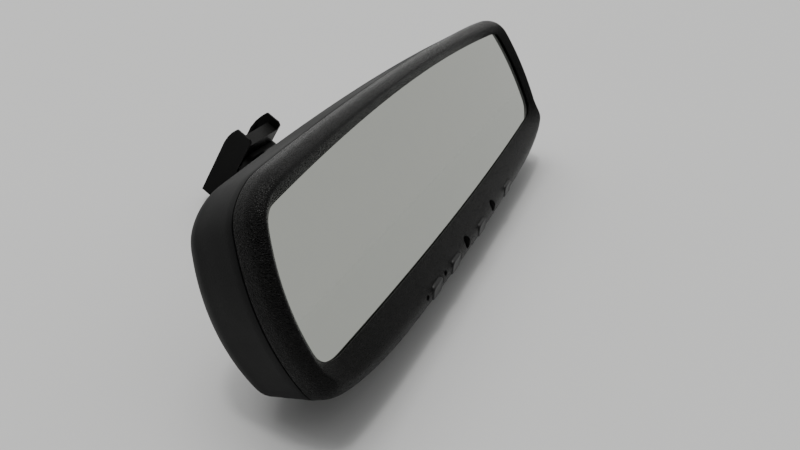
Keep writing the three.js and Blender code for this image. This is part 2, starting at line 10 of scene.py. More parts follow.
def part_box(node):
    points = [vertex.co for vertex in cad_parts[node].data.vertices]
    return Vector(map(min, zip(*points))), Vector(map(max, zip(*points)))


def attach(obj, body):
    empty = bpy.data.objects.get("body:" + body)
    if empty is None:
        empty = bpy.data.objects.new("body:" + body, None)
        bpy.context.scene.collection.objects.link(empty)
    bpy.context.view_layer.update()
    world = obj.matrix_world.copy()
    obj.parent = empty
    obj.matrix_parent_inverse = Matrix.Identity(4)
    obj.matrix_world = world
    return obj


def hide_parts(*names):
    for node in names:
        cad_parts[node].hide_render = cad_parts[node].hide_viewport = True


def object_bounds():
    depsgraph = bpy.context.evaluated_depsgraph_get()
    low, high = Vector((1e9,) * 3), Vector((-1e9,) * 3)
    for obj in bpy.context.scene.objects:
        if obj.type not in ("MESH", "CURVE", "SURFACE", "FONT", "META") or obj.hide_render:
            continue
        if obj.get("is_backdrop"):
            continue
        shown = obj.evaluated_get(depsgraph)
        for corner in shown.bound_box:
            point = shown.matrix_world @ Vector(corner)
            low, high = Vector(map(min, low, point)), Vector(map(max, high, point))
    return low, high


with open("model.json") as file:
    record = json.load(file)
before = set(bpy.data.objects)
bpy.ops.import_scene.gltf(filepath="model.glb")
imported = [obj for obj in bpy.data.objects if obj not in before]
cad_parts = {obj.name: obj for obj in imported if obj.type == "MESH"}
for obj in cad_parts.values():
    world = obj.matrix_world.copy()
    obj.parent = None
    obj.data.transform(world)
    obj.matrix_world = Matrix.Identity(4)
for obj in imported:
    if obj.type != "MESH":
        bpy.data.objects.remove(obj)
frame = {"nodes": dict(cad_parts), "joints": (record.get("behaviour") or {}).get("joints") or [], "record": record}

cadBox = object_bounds()
mm = 0.001
nodes = frame["nodes"]
joints = {joint["name"]: joint for joint in frame["joints"]}
gap = 0.3  # mm of air between pieces that touch
print("frame loaded:", len(nodes), "nodes")


# The mirror's own frame is in mm: x along the width, y from the glass to the windshield, z up
# the glass. The ball joint gives where it is, and the roll joint how far it leans.

ballDepth = 27
acrossCase = Vector(joints["head_roll"]["axis"]).normalized()
upGlass = Vector((1, 0, 0)).cross(acrossCase)
leanTurn = Matrix((Vector((1, 0, 0)), acrossCase, upGlass)).transposed()
glassCentre = Vector(joints["head_pan"]["pos_m"]) - acrossCase * ballDepth * mm
toRow = Matrix.Translation(glassCentre) @ leanTurn.to_4x4() @ Matrix.Scale(mm, 4)


# ---- camera, floor and lights

camera = {
    "lens": 30.18, "azimuth": -67.32, "elevation": 30.89, "roll": 2.76, "distance": 0.3085,
    "target": (-0.00555, -0.03462, 0.01073),
}
floor = {"radius": 6.0, "colour": (0.61, 0.615, 0.62, 1), "grain": 0.02}
sky = {"colour": (1.0, 1.0, 0.985, 1), "strength": 0.79, "shadeSide": (-0.93, -0.35, 0.1), "shade": 0.1}
suns = {
    # where it shines from, spread in degrees, strength, colour
    "ceilingWide": ((0.2, 0.32, 0.95), 50, 1.7, (1, 0.99, 0.97)),
    "ceilingLamp": ((-0.02, 0.1, 1), 7, 0.6, (1, 0.985, 0.955)),
}


def makeCamera():
    azimuth = math.radians(camera["azimuth"])
    elevation = math.radians(camera["elevation"])
    back = Vector((
        math.sin(azimuth) * math.cos(elevation), -math.cos(azimuth) * math.cos(elevation),
        math.sin(elevation),
    ))
    holder = bpy.data.objects.new("camera", bpy.data.cameras.new("camera"))
    holder.data.lens = camera["lens"]
    holder.data.clip_start = 0.005
    look = (-back).to_track_quat("-Z", "Y").to_matrix()
    turn = look @ Matrix.Rotation(math.radians(camera["roll"]), 3, "Z")
    place = Vector(camera["target"]) + back * camera["distance"]
    holder.matrix_world = Matrix.Translation(place) @ turn.to_4x4()
    bpy.context.scene.collection.objects.link(holder)
    bpy.context.scene.camera = holder


def makeSun(name, way, spread, strength, colour):
    # an even light, as soft as its spread
    lamp = bpy.data.lights.new(name, "SUN")
    lamp.angle = math.radians(spread)
    lamp.energy = strength
    lamp.color = colour
    holder = bpy.data.objects.new(name, lamp)
    holder.matrix_world = Vector(way).to_track_quat("Z", "Y").to_matrix().to_4x4()
    bpy.context.scene.collection.objects.link(holder)


makeCamera()
for name, spec in suns.items():
    makeSun(name, *spec)
print("camera and lights made")


# ---- node trees, with sums written as Python expressions

class Wire:
    # a socket's output, on which sums can be written
    def __init__(self, graph, socket):
        self.graph, self.socket = graph, socket

    def sum(self, operation, first, second):
        return self.graph.add("ShaderNodeMath", {"operation": operation}, {0: first, 1: second})

    def __add__(self, other):
        return self.sum("ADD", self, other)

    def __sub__(self, other):
        return self.sum("SUBTRACT", self, other)

    def __rsub__(self, other):
        return self.sum("SUBTRACT", other, self)

    def __mul__(self, other):
        return self.sum("MULTIPLY", self, other)

    def __truediv__(self, other):
        return self.sum("DIVIDE", self, other)

    __radd__ = __add__
    __rmul__ = __mul__


class Graph:
    # any node tree, whose nodes come from add()
    def feed(self, node, inputs):
        for key, value in inputs.items():
            for each in value if isinstance(value, list) else [value]:
                if isinstance(each, Wire):
                    self.tree.links.new(each.socket, node.inputs[key])
                else:
                    node.inputs[key].default_value = each

    def add(self, kind, settings=None, inputs=None, out=0):
        node = self.tree.nodes.new(kind)
        for key, value in (settings or {}).items():
            if key == "stops":
                while len(node.color_ramp.elements) < len(value):
                    node.color_ramp.elements.new(0.5)
                for element, (position, shade) in zip(node.color_ramp.elements, value):
                    element.position, element.color = position, (shade, shade, shade, 1)
            else:
                setattr(node, key, value)
        self.feed(node, inputs or {})
        return Wire(self, node.outputs[out])


class Finish(Graph):
    # a material with one Principled shader
    def __init__(self, name, **constants):
        self.material = bpy.data.materials.new(name)
        self.material.use_nodes = True
        self.tree = self.material.node_tree
        self.tree.nodes.clear()
        self.shader = self.tree.nodes.new("ShaderNodeBsdfPrincipled")
        output = self.tree.nodes.new("ShaderNodeOutputMaterial")
        self.tree.links.new(self.shader.outputs[0], output.inputs["Surface"])
        self.feed(self.shader, constants)
        self.place = self.add("ShaderNodeTexCoord", out="Object")

    def noise(self, size, detail=3, where=None):
        inputs = {"Vector": where or self.place, "Scale": 1 / (size * mm), "Detail": detail}
        return self.add("ShaderNodeTexNoise", None, inputs)

    def cells(self, size, feature="F1", where=None, smooth=None):
        inputs = {"Vector": where or self.place, "Scale": 1 / (size * mm)}
        if smooth is not None:
            inputs["Smoothness"] = smooth
        return self.add("ShaderNodeTexVoronoi", {"feature": feature}, inputs)

    def ramp(self, value, *stops):
        return self.add("ShaderNodeValToRGB", {"stops": stops}, {"Fac": value})

    def mix(self, factor, first, second):
        return self.add("ShaderNodeMix", {"data_type": "RGBA"}, {0: factor, 6: first, 7: second}, 2)

    def warp(self, size, amount):
        # object coordinates pushed about by noise, in mm
        around = {"Vector": self.place, "Scale": 1 / (size * mm)}
        drift = self.add("ShaderNodeTexNoise", None, around, "Color")
        centred = self.add("ShaderNodeVectorMath", {"operation": "SUBTRACT"}, {0: drift, 1: (0.5, 0.5, 0.5)})
        scaled = self.add("ShaderNodeVectorMath", {"operation": "SCALE"}, {0: centred, "Scale": amount * mm})
        return self.add("ShaderNodeVectorMath", {"operation": "ADD"}, {0: self.place, 1: scaled})

    def bump(self, height, depth):
        inputs = {"Height": height, "Distance": depth * mm, "Strength": 1.0}
        return self.add("ShaderNodeBump", None, inputs)

    def surface(self, **inputs):
        names = {"colour": "Base Color", "roughness": "Roughness", "normal": "Normal", "metal": "Metallic"}
        self.feed(self.shader, {names[key]: value for key, value in inputs.items()})
        return self.material


def makeSky():
    # an even studio sky, dimmer towards its shade side; seen directly it is plain
    world = bpy.data.worlds.new("studio")
    world.use_nodes = True
    bpy.context.scene.world = world
    graph = Graph()
    graph.tree = world.node_tree
    way = graph.add("ShaderNodeTexCoord", out="Generated")
    facing = graph.add(
        "ShaderNodeVectorMath", {"operation": "DOT_PRODUCT"}, {0: way, 1: sky["shadeSide"]}, "Value",
    )
    light = graph.add("ShaderNodeMapRange", {"interpolation_type": "SMOOTHSTEP"}, {
        "Value": facing, "From Min": 0.0, "From Max": 0.7, "To Min": 1.0, "To Max": sky["shade"],
    })
    seen = graph.add("ShaderNodeLightPath", out="Is Camera Ray")
    background = world.node_tree.nodes["Background"]
    strength = (light * (1 - seen) + seen) * sky["strength"]
    graph.feed(background, {"Color": sky["colour"], "Strength": strength})


makeSky()


# ---- finishes

sheen = 0.12  # specular level of the black mouldings
leather = {
    "dark": (0.0005, 0.0005, 0.0005, 1), "pale": (0.0022, 0.0023, 0.0022, 1),
    "grain": 0.6, "depth": 0.22,
}
spark = {
    "dark": (0.001, 0.0011, 0.0013, 1), "pale": (0.0032, 0.0035, 0.0038, 1),
    "grain": 0.42, "depth": 0.05,
}


def bezelLeather():
    # pebbles parted by creases, with a finer grain over them, and painted shade in the creases
    finish = Finish("bezel_leather", **{"Specular IOR Level": sheen})
    where = finish.warp(1.6, 0.5)
    pebbles = finish.cells(leather["grain"], "SMOOTH_F1", where, 0.35)
    creases = finish.ramp(finish.cells(leather["grain"], "DISTANCE_TO_EDGE", where), (0.0, 0.0), (0.16, 1.0))
    fine = finish.noise(0.16, 2)
    height = creases * 0.65 + (1 - pebbles) * 0.5 + fine * 0.22
    worn = finish.ramp(finish.noise(22, 4), (0.35, 0.0), (0.7, 1.0))
    # painted shade: the creases are coloured darker than the pebble tops; the worn noise makes the tops paler at
    # random
    colour = finish.mix(creases * (0.55 + 0.45 * worn), leather["dark"], leather["pale"])
    roughness = 0.2 + 0.22 * (1 - creases) + 0.06 * worn
    return finish.surface(colour=colour, roughness=roughness, normal=finish.bump(height, leather["depth"]))


def housingSpark():
    finish = Finish("housing_spark", **{"Specular IOR Level": sheen * 1.5})
    fine = finish.noise(spark["grain"], 3)
    pits = finish.cells(spark["grain"] * 1.6, "F1")
    height = fine * 0.7 + pits * 0.5
    handled = finish.ramp(finish.noise(30, 4), (0.35, 0.0), (0.7, 1.0))
    colour = finish.mix(finish.ramp(fine, (0.3, 0.0), (0.7, 1.0)), spark["dark"], spark["pale"])
    roughness = 0.5 + 0.1 * handled + 0.08 * fine
    return finish.surface(colour=colour, roughness=roughness, normal=finish.bump(height, spark["depth"]))


def mirrorSilver():
    # silvered glass, with the faintest dust
    finish = Finish("mirror_silver", Metallic=1.0)
    dust = finish.ramp(finish.noise(9, 5), (0.45, 0.0), (0.75, 1.0))
    colour = finish.mix(dust * 0.25, (0.445, 0.459, 0.428, 1), (0.425, 0.438, 0.41, 1))
    return finish.surface(colour=colour, roughness=0.035 + 0.02 * dust)


def speckled(name, dark, pale, roughness, grain=0.3, depth=0.02, patch=12, **constants):
    # a plain moulded or coated finish: a fine grain, and slow changes of tone
    finish = Finish(name, **constants)
    fine = finish.noise(grain, 3)
    slow = finish.ramp(finish.noise(patch, 3), (0.35, 0.0), (0.7, 1.0))
    colour = finish.mix(fine * 0.6 + slow * 0.4, dark, pale)
    return finish.surface(
        colour=colour, roughness=roughness + 0.1 * slow - 0.05 * fine, normal=finish.bump(fine, depth),
    )


def boardMask():
    # green solder mask over straight tracks, with bare pads
    finish = Finish("board_mask", IOR=1.5)
    tracks = finish.add("ShaderNodeTexBrick", {"offset": 0.5}, {
        "Vector": finish.place, "Scale": 1 / (6 * mm), "Mortar Size": 0.03, "Color1": (0, 0, 0, 1),
        "Color2": (0.1, 0.1, 0.1, 1), "Mortar": (1, 1, 1, 1),
    }, "Fac")
    pads = finish.ramp(finish.cells(3.1), (0.12, 1.0), (0.16, 0.0))
    green = finish.mix(tracks * 0.6, (0.006, 0.075, 0.024, 1), (0.02, 0.16, 0.06, 1))
    colour = finish.mix(pads * 0.8, green, (0.55, 0.5, 0.42, 1))
    return finish.surface(colour=colour, roughness=0.34 + 0.1 * tracks, metal=pads * 0.8,
                          normal=finish.bump(tracks + pads, 0.03))


def brushedSteel():
    finish = Finish("plated_steel", Metallic=1.0)
    stretched = finish.add("ShaderNodeMapping", None, {"Vector": finish.place, "Scale": (1, 1, 12)})
    streaks = finish.noise(1.2, 4, stretched)
    dull = finish.ramp(finish.noise(5, 3), (0.4, 0.0), (0.7, 1.0))
    colour = finish.mix(dull, (0.4, 0.405, 0.41, 1), (0.3, 0.3, 0.295, 1))
    return finish.surface(colour=colour, roughness=0.26 + 0.14 * streaks + 0.1 * dull,
                          normal=finish.bump(streaks, 0.006))


finishes = {
    "bezel_plastic": bezelLeather(),
    "housing_plastic": housingSpark(),
    "mirror": mirrorSilver(),
    "mount_coating": speckled(
        "mount_powder_coat", (0.0015, 0.0015, 0.0015, 1), (0.0035, 0.0035, 0.0035, 1), 0.45, 0.45, 0.05,
        **{"Specular IOR Level": sheen},
    ),
    "clear_glass": speckled(
        "clear_glass", (0.6, 0.68, 0.65, 1), (0.66, 0.73, 0.7, 1), 0.06, 4, 0.002, IOR=1.52,
        **{"Transmission Weight": 0.85},
    ),
    "seal": speckled("epoxy_seal", (0.02, 0.02, 0.018, 1), (0.035, 0.034, 0.03, 1), 0.6),
    "copper": speckled(
        "tinned_copper", (0.5, 0.28, 0.16, 1), (0.62, 0.38, 0.22, 1), 0.3, 0.4, 0.004, Metallic=1.0,
    ),
    "foam": speckled("foam_tape", (0.012, 0.012, 0.013, 1), (0.03, 0.03, 0.032, 1), 0.85, 0.5, 0.12),
    "inner_plastic": speckled("glass_filled_plastic", (0.01, 0.01, 0.011, 1), (0.022, 0.022, 0.024, 1), 0.5),
    "board": boardMask(),
    "component": speckled(
        "moulded_component", (0.008, 0.008, 0.009, 1), (0.016, 0.016, 0.017, 1), 0.4, 0.12, 0.01,
    ),
    "steel": brushedSteel(),
    "liner": speckled("natural_acetal", (0.6, 0.58, 0.5, 1), (0.7, 0.67, 0.6, 1), 0.35, 0.5, 0.006),
    "lens": speckled(
        "smoked_lens", (0.0003, 0.0003, 0.0004, 1), (0.0006, 0.0006, 0.0008, 1), 0.1, 0.5, 0.001,
        **{"Specular IOR Level": 0.004},
    ),
    # the buttons' grey is paler than the bezel's: partly their own plastic, partly painted highlight for the
    # floor's light caught on their faces
    "button": speckled(
        "satin_button", (0.009, 0.0093, 0.0096, 1), (0.016, 0.0164, 0.0168, 1), 0.42, 0.2, 0.012,
        **{"Specular IOR Level": 0.25},
    ),
    "flex": speckled("amber_ribbon", (0.22, 0.08, 0.015, 1), (0.32, 0.13, 0.03, 1), 0.3, 0.4, 0.004),
}
slotOf = {part["node"]: part["material_slot"] for part in frame["record"]["subparts"]}


def dress(piece, finish):
    piece.data.materials.clear()
    piece.data.materials.append(finish)


# painted shade: the spring alone gets a darker copy of the steel finish, so the bracket's notch around it stays
# dark
springPaintedShade = speckled(
    "spring_painted_shade", (0.05, 0.05, 0.052, 1), (0.11, 0.11, 0.112, 1), 0.34, 0.5, 0.004, Metallic=1.0,
)
for name, node in nodes.items():
    for holder in node.material_slots:
        holder.material = springPaintedShade if name == "bracket_spring" else finishes[slotOf[name]]
print("finishes made:", len(finishes))


# ---- floor

def makeFloor():
    mesh = bpy.data.meshes.new("floor")
    shape = bmesh.new()
    bmesh.ops.create_circle(shape, cap_ends=True, radius=floor["radius"], segments=96)
    shape.to_mesh(mesh)
    shape.free()
    piece = bpy.data.objects.new("floor", mesh)
    bpy.context.scene.collection.objects.link(piece)
    finish = Finish("floor_paint")
    cloud = finish.noise(260, 3)
    edge = tuple(channel * (1 - floor["grain"]) for channel in floor["colour"][:3]) + (1,)
    dress(piece, finish.surface(colour=finish.mix(cloud, floor["colour"], edge), roughness=0.75))
    piece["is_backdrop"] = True


makeFloor()


# ---- outlines and lofts

caseOutline = {
    "topHalf": 115, "bottomHalf": 122.5, "top": 34.2, "bottom": -39.7, "topBow": 3.7, "bottomBow": 4.9,
    "endBow": 9.25, "topTrim": (14.3, 9.7), "bottomTrim": (43.5, 7.9),
}
glassOutline = {
    "topHalf": 112, "bottomHalf": 120.8, "top": 25.3, "bottom": -24.9, "topBow": 5.9, "bottomBow": 3.4,
    "endBow": 4.6, "topTrim": (3, 4), "bottomTrim": (9, 6),
}


def outlinePoints(outline, count, soften=6):
    # evenly spaced points of a four-sided outline with bowed sides and rounded corners
    corners = [
        Vector((-outline["topHalf"], outline["top"])),
        Vector((outline["topHalf"], outline["top"])),
        Vector((outline["bottomHalf"], outline["bottom"])),
        Vector((-outline["bottomHalf"], outline["bottom"])),
    ]
    bows = [outline["topBow"], outline["endBow"], outline["bottomBow"], outline["endBow"]]
    trims = [outline["topTrim"], outline["topTrim"], outline["bottomTrim"], outline["bottomTrim"]]
    sides = []
    for i, start in enumerate(corners):
        end = corners[(i + 1) % 4]
        along = end - start
        outward = Vector((-along.y, along.x)).normalized()
        middle = (start + end) / 2 + outward * 2 * bows[i]
        low = trims[i][i % 2] / along.length
        high = 1 - trims[(i + 1) % 4][i % 2] / along.length
        sides.append((start, middle, end, low, high))

    def onSide(side, t):
        start, middle, end = side[:3]
        return start * (1 - t) ** 2 + middle * 2 * t * (1 - t) + end * t * t

    steps = 60  # points along each side and round each corner
    roundness = 0.55  # how far a corner's curve leans towards its corner
    points = []
    for i, side in enumerate(sides):
        low, high = side[3:]
        points += [onSide(side, low + (high - low) * k / steps) for k in range(steps + 1)]
        corner = corners[(i + 1) % 4]
        after = sides[(i + 1) % 4]
        first, last = onSide(side, high), onSide(after, after[3])
        one, two = first.lerp(corner, roundness), last.lerp(corner, roundness)
        for k in range(1, steps):
            t = k / steps
            points.append(
                first * (1 - t) ** 3 + one * 3 * t * (1 - t) ** 2 + two * 3 * t * t * (1 - t) + last * t ** 3
            )
    points = np.array(points)
    loop = np.vstack([points, points[:1]])
    reach = np.concatenate([[0], np.cumsum(np.linalg.norm(np.diff(loop, axis=0), axis=1))])
    even = np.linspace(0, reach[-1], count, endpoint=False)
    points = np.column_stack([np.interp(even, reach, loop[:, 0]), np.interp(even, reach, loop[:, 1])])
    for _ in range(soften):  # takes the kink out where a side meets its corner
        points = (points + 0.5 * (np.roll(points, 1, axis=0) + np.roll(points, -1, axis=0))) / 2
    return points


def ringAt(points, y):
    depth = np.broadcast_to(y, len(points))
    return np.column_stack([points[:, 0], depth, points[:, 1]])


def inset(points, amount):
    # the outline shrunk towards the middle of its box by the same amount on every side
    low, high = points.min(axis=0), points.max(axis=0)
    middle, half = (low + high) / 2, (high - low) / 2
    return middle + (points - middle) * (1 - amount / half)


def meshFrom(name, vertices, faces, place=toRow):
    # a mesh object with its place in its vertices and its faces pointing out
    mesh = bpy.data.meshes.new(name)
    mesh.from_pydata([place @ Vector(v) for v in vertices], [], faces)
    shape = bmesh.new()
    shape.from_mesh(mesh)
    bmesh.ops.recalc_face_normals(shape, faces=shape.faces)
    if shape.calc_volume(signed=True) < 0:
        bmesh.ops.reverse_faces(shape, faces=shape.faces)
    shape.to_mesh(mesh)
    shape.free()
    piece = bpy.data.objects.new(name, mesh)
    bpy.context.scene.collection.objects.link(piece)
    return piece


def loft(name, rings, closed=False, place=toRow):
    # rings of points joined in turn. An open loft is capped at both ends.
    count = len(rings[0])
    faces = []
    for k in range(len(rings) if closed else len(rings) - 1):
        low, high = k * count, (k + 1) % len(rings) * count
        for i in range(count):
            j = (i + 1) % count
            faces.append((low + i, low + j, high + j, high + i))
    if not closed:
        faces.append(tuple(range(count)))
        faces.append(tuple(range((len(rings) - 1) * count, len(rings) * count)))
    return meshFrom(name, np.vstack(rings), faces, place)


def smooth(piece, angle=38):
    piece.data.shade_smooth()
    piece.data.set_sharp_from_angle(angle=math.radians(angle))


def settle(piece):
    # the result of the piece's modifiers becomes its mesh, without doubled edges or loose points
    graph = bpy.context.evaluated_depsgraph_get()
    mesh = bpy.data.meshes.new_from_object(piece.evaluated_get(graph))
    mesh.validate()
    shape = bmesh.new()
    shape.from_mesh(mesh)
    loose = [point for point in shape.verts if not point.link_faces]
    bmesh.ops.delete(shape, geom=loose, context="VERTS")
    shape.to_mesh(mesh)
    shape.free()
    old = piece.data
    piece.modifiers.clear()
    piece.data = mesh
    mesh.name = piece.name
    bpy.data.meshes.remove(old)


def carve(piece, *cutters):
    for cutter in cutters:
        cut = piece.modifiers.new("cut", "BOOLEAN")
        cut.operation, cut.solver, cut.object = "DIFFERENCE", "EXACT", cutter
    bpy.context.view_layer.update()
    settle(piece)
    for cutter in cutters:
        bpy.data.objects.remove(cutter)


def merge(piece, *others):
    # several closed shapes kept as one mesh
    shape = bmesh.new()
    for each in (piece, *others):
        shape.from_mesh(each.data)
    shape.to_mesh(piece.data)
    shape.free()
    for each in others:
        bpy.data.objects.remove(each)


def roundedRectangle(width, height, corner):
    steps = 6  # round each corner
    points = []
    for k, (sideX, sideZ) in enumerate([(1, 1), (-1, 1), (-1, -1), (1, -1)]):
        for step in range(steps + 1):
            angle = math.pi / 2 * (k + step / steps)
            points.append((
                sideX * (width / 2 - corner) + corner * math.cos(angle),
                sideZ * (height / 2 - corner) + corner * math.sin(angle),
            ))
    return np.array(points)


def circlePoints(radius, count=40):
    return [(radius * math.cos(2 * math.pi * k / count), radius * math.sin(2 * math.pi * k / count))
            for k in range(count)]


def rodAt(name, x, z, sections):
    # a round bar along y, as a list of (y, radius)
    rings = [[(x + a, y, z + b) for a, b in circlePoints(radius)] for y, radius in sections]
    return loft(name, [np.array(ring) for ring in rings])


print("outlines and lofts ready")


# ---- where the chin's pieces sit

def chinPlace(name, proud):
    # a frame on the chin's skin at a button: x along the chin, y up it, z out of it, in mm
    low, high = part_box(name)
    middle = (low + high) / 2
    out = -Vector(joints[name + "_press"]["axis"]).normalized()
    up = out.cross(Vector((1, 0, 0)))
    reach = max((high - middle).dot(out), (low - middle).dot(out)) - proud * mm
    turn = Matrix((Vector((1, 0, 0)), up, out)).transposed()
    return Matrix.Translation(middle + out * reach) @ turn.to_4x4() @ Matrix.Scale(mm, 4)


def inMirror(name):
    # middle of a node's box in the mirror's own frame
    low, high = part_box(name)
    return toRow.inverted() @ ((low + high) / 2)


buttons = ["button_1", "button_2", "button_3", "button_4"]
button = {
    "width": 10, "height": 6.4, "corner": 2.2, "depth": 3, "proud": 0.25, "edge": 0.8, "dish": 0.22,
    "earWidth": 12, "earHeight": 2.8, "earFrom": -3.7, "earTo": -2.7, "stem": 0.9, "stemEnd": -5.0,
}


# ---- front bezel

bezel = {
    "parting": 6.3, "front": -6.25, "edge": 8.8, "draft": 0.1, "lip": -0.9, "reach": 10, "bend": 1.7,
    "blend": 1.1, "wall": 2.2, "around": 560, "across": 26, "groove": 0.35,
    "windowPoints": 2400, "evenPasses": 8, "lipThick": 2.0,
}


def bezelSections():
    outer = outlinePoints(caseOutline, bezel["around"])
    window = outlinePoints(glassOutline, bezel["windowPoints"], 3)
    nearest = np.empty_like(outer)
    for i, point in enumerate(outer):
        nearest[i] = window[np.argmin(np.sum((window - point) ** 2, axis=1))]
    for _ in range(bezel["evenPasses"]):
        nearest = (nearest + 0.5 * (np.roll(nearest, 1, axis=0) + np.roll(nearest, -1, axis=0))) / 2
    span = np.linalg.norm(nearest - outer, axis=1)
    inward = (nearest - outer) / span[:, None]
    centre = bezel["front"] + bezel["edge"]
    rise = bezel["lip"] - bezel["front"] + 0.1

    def height(depth):
        # the pillow edge and the window's flare, joined softly where they meet
        in1 = np.clip(1 - (depth - bezel["draft"]) / bezel["edge"], 0, 1)
        pillow = centre - bezel["edge"] * np.sqrt(1 - in1 ** 2)
        growth = np.clip((span - depth) / bezel["reach"], 0, 1)
        flare = bezel["lip"] - rise * (1 - (1 - growth) ** bezel["bend"])
        k = bezel["blend"]
        overlap = np.clip(1 - np.abs(pillow - flare) / k, 0, 1)
        return np.maximum(pillow, flare) + overlap ** 2 * k * 0.25

    def ring(depth, y):
        return ringAt(outer + inward * np.broadcast_to(depth, len(outer))[:, None], y)

    groove, parting, wall = bezel["groove"], bezel["parting"], bezel["wall"]
    rings = [ring(wall, parting), ring(groove, parting), ring(groove * 0.3, parting - groove * 0.3),
             ring(0, parting - groove), ring(0.05, parting - 2)]
    for k in range(bezel["across"] + 1):
        share = 1 - math.cos(math.pi / 2 * k / bezel["across"])
        depth = bezel["draft"] + (span - bezel["draft"]) * share
        rings.append(ring(depth, height(depth)))
    lipBack = -gap
    rings.append(ring(span, lipBack))
    for share in (0.3, 0.55, 0.8, 1.0):
        depth = span - (span - wall) * share
        under = np.minimum(height(depth) + bezel["lipThick"], lipBack) if share > 0.3 else lipBack
        rings.append(ring(depth, under))
    return rings


chinCuts = {
    # depths with how much wider than a button the cut is, and depths with radii
    "button": [(-4.6, gap), (-0.55, gap), (0.1, gap + 0.45), (3, gap + 2.6)],
    "lens": [(-9, 2.7), (0.2, 2.7)],
    "soundHole": [(-9, 3.2), (-5.6, 1.1), (-5.2, 0.9), (-1, 0.9)],
    "soundHoleDrop": 1,
}


def chinCutters():
    cutters = []
    for name in buttons:
        place = chinPlace(name, button["proud"])
        rings = []
        for z, grown in chinCuts["button"]:
            shape = roundedRectangle(
                button["width"] + 2 * grown, button["height"] + 2 * grown, button["corner"] + grown,
            )
            rings.append(np.column_stack([shape, np.full(len(shape), z)]))
        cutters.append(loft("cut_" + name, rings, place=place))
    for name in ("status_led_lens", "glare_sensor_lens"):
        middle = inMirror(name)
        cutters.append(rodAt("cut_" + name, middle.x, middle.z, chinCuts["lens"]))
    for name in ("microphone_1", "microphone_2"):
        middle = inMirror(name)
        down = middle.z - chinCuts["soundHoleDrop"]
        cutters.append(rodAt("cut_" + name, middle.x, down, chinCuts["soundHole"]))
    return cutters


frontBezel = loft("soft_bezel", bezelSections(), closed=True)
carve(frontBezel, *chinCutters())
smooth(frontBezel)
dress(frontBezel, finishes["bezel_plastic"])
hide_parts("front_bezel")
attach(frontBezel, "head")
print("bezel:", len(frontBezel.data.polygons), "faces")


# ---- rear housing

housing = {
    "parting": 6.6, "rim": 23.6, "slope": 0.1, "edge": 9.6, "turn": 64, "back": 38.5, "crown": 36,
    "wall": 2.2, "around": 560, "mouth": (10.4, 13.4), "groove": 0.35,
}
harness = {"width": 25.6, "height": 13.6, "corner": 1.2, "depths": (30, 45)}
sensorCut = [(30, 2.9), (37.3, 2.9), (38.4, 3.6), (45, 5)]  # depths with radii


def housingProfile():
    # (y, inset) from the parting to the middle of the back
    rise = housing["rim"] - housing["parting"]
    sideInset = rise * housing["slope"]
    profile = [(housing["parting"] + rise * k / 5, sideInset * k / 5) for k in range(1, 6)]
    for k in range(1, 13):
        angle = math.radians(housing["turn"]) * k / 12
        profile.append((
            housing["rim"] + housing["edge"] * math.sin(angle),
            sideInset + housing["edge"] * (1 - math.cos(angle)),
        ))
    edgeY, edgeInset = profile[-1]
    for k in range(1, 15):
        share = k / 14
        profile.append((
            housing["back"] - (housing["back"] - edgeY) * (1 - share) ** 2,
            edgeInset + (housing["crown"] - edgeInset) * share,
        ))
    return profile


def housingShell():
    outer = outlinePoints(caseOutline, housing["around"])
    profile = housingProfile()
    groove, parting, wall = housing["groove"], housing["parting"], housing["wall"]
    outside = [(parting, groove), (parting + groove * 0.3, groove * 0.3), (parting + groove, 0.02)] + profile
    inside = []
    for k, (y, amount) in enumerate(profile):
        before = profile[max(k - 1, 0)]
        after = profile[min(k + 1, len(profile) - 1)]
        along = Vector((after[0] - before[0], after[1] - before[1])).normalized()
        inside.append((y - along.y * wall, amount + along.x * wall))
    shell = [ringAt(inset(outer, amount), y) for y, amount in outside]
    core = [ringAt(inset(outer, amount), y) for y, amount in [(parting - 1, wall)] + inside]
    return loft("textured_housing", shell), loft("cut_core", core)


def housingCutters():
    mouthFront, mouthBack = housing["mouth"]
    cutters = [rodAt("cut_ball", 0, 0, [
        (housing["back"] - 6, mouthFront - 0.7), (housing["back"] - 3, mouthFront),
        (housing["back"] - 0.9, mouthFront + 1.0), (housing["back"] + 0.6, mouthFront + 2.9),
        (housing["back"] + 4, mouthBack + 4),
    ])]
    header = inMirror("connector_header")
    shape = roundedRectangle(harness["width"], harness["height"], harness["corner"])
    rings = [np.column_stack([shape[:, 0] + header.x, np.full(len(shape), y), shape[:, 1] + header.z])
             for y in harness["depths"]]
    cutters.append(loft("cut_harness", rings))
    sensor = inMirror("rear_sensor_lens")
    cutters.append(rodAt("cut_sensor", sensor.x, sensor.z, sensorCut))
    return cutters


rearHousing, housingCore = housingShell()
carve(rearHousing, housingCore, *housingCutters())
smooth(rearHousing)
dress(rearHousing, finishes["housing_plastic"])
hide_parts("rear_housing")
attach(rearHousing, "head")
print("housing:", len(rearHousing.data.polygons), "faces")


# ---- buttons and lenses

